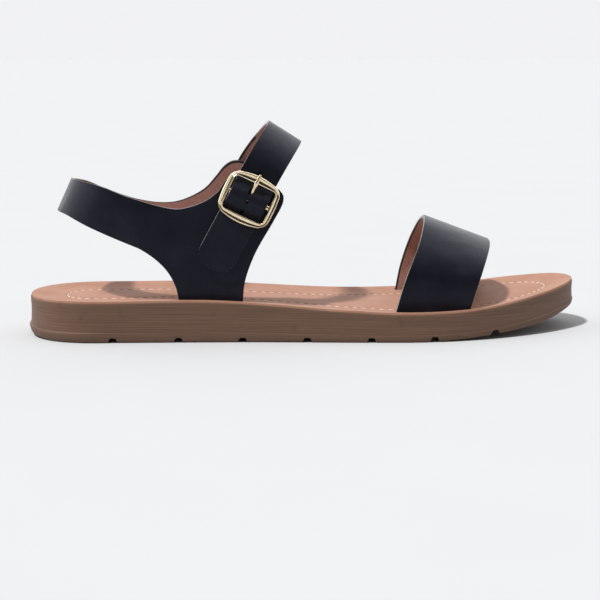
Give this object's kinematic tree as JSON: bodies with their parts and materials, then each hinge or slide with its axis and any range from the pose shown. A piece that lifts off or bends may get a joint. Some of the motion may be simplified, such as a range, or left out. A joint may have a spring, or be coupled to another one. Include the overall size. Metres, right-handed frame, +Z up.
{
  "type": "ankle strap sandal",
  "caption": "Flat leather sandal with a wide strap over the toes, a closed heel strap and a buckled strap round the ankle.",
  "frame": {"origin": "on the floor, under the middle of the sandal's box", "axes": "+X from heel to toe, +Y toward the inner side of the foot, +Z up"},
  "size_m": [0.2507, 0.083, 0.0955],
  "materials": {
    "sole": "matte moulded brown",
    "insole": "matte tan",
    "leather": "soft satin black",
    "buckle": "polished pale gold"
  },
  "bodies": {
    "root": {"sole": "sole", "insole": "insole", "upper": "leather", "vamp_band": "leather", "ankle_strap": "leather", "buckle_chape": "leather", "buckle_frame": "buckle", "buckle_prong": "buckle"}
  },
  "joints": []
}
